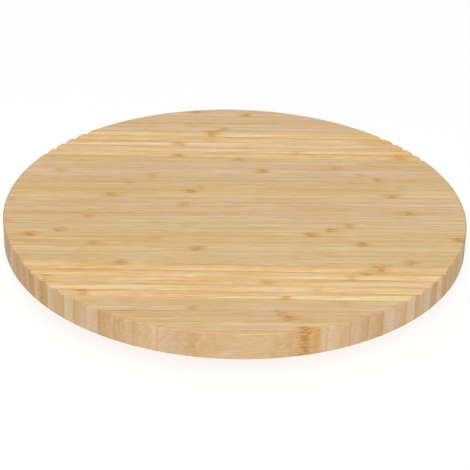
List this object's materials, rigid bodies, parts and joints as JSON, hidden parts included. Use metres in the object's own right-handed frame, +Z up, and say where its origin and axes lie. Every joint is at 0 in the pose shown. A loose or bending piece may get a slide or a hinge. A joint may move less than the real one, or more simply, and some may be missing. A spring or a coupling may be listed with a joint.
{
  "type": "lazy susan turntable",
  "caption": "Round laminated bamboo serving board with two bands of cross grooves, turning on a hidden ring of balls over a small base with rubber feet.",
  "frame": {"origin": "on the turning axis, at the level the feet stand on", "axes": "+Z up along the turning axis; the grooves run along X; -Y is the front"},
  "size_m": [0.305, 0.305, 0.0398],
  "materials": {
    "board_bamboo": "satin lacquer over upright bamboo strips",
    "base_bamboo": "satin lacquer",
    "ring_aluminium": "as extruded, lightly brushed round the ring",
    "ball_steel": "polished bearing steel",
    "cage_nylon": "natural nylon",
    "screw_zinc": "bright zinc plate",
    "foot_rubber": "moulded matt"
  },
  "bodies": {
    "base": {"base_disc": "base_bamboo", "inner_ring": "ring_aluminium", "base_screw_1": "screw_zinc", "base_screw_2": "screw_zinc", "base_screw_3": "screw_zinc", "base_screw_4": "screw_zinc", "foot_1": "foot_rubber", "foot_2": "foot_rubber", "foot_3": "foot_rubber", "foot_4": "foot_rubber", "foot_washer_1": "screw_zinc", "foot_washer_2": "screw_zinc", "foot_washer_3": "screw_zinc", "foot_washer_4": "screw_zinc", "foot_screw_1": "screw_zinc", "foot_screw_2": "screw_zinc", "foot_screw_3": "screw_zinc", "foot_screw_4": "screw_zinc"},
    "ball_cage": {"ball_cage": "cage_nylon", "ball_01": "ball_steel", "ball_02": "ball_steel", "ball_03": "ball_steel", "ball_04": "ball_steel", "ball_05": "ball_steel", "ball_06": "ball_steel", "ball_07": "ball_steel", "ball_08": "ball_steel", "ball_09": "ball_steel", "ball_10": "ball_steel", "ball_11": "ball_steel", "ball_12": "ball_steel", "ball_13": "ball_steel", "ball_14": "ball_steel", "ball_15": "ball_steel", "ball_16": "ball_steel", "ball_17": "ball_steel", "ball_18": "ball_steel", "ball_19": "ball_steel", "ball_20": "ball_steel"},
    "turntable": {"board": "board_bamboo", "outer_ring": "ring_aluminium", "board_screw_1": "screw_zinc", "board_screw_2": "screw_zinc", "board_screw_3": "screw_zinc", "board_screw_4": "screw_zinc"}
  },
  "joints": [
    {"name": "turntable_spin", "type": "hinge", "parent": "base", "child": "turntable", "pos_m": [0, 0, 0.0173], "axis": [0, 0, 1], "continuous": true},
    {"name": "cage_spin", "type": "hinge", "parent": "base", "child": "ball_cage", "pos_m": [0, 0, 0.0173], "axis": [0, 0, 1], "continuous": true}
  ],
  "couplings": [
    {"joint": "cage_spin", "follows": "turntable_spin", "ratio": 0.51}
  ]
}
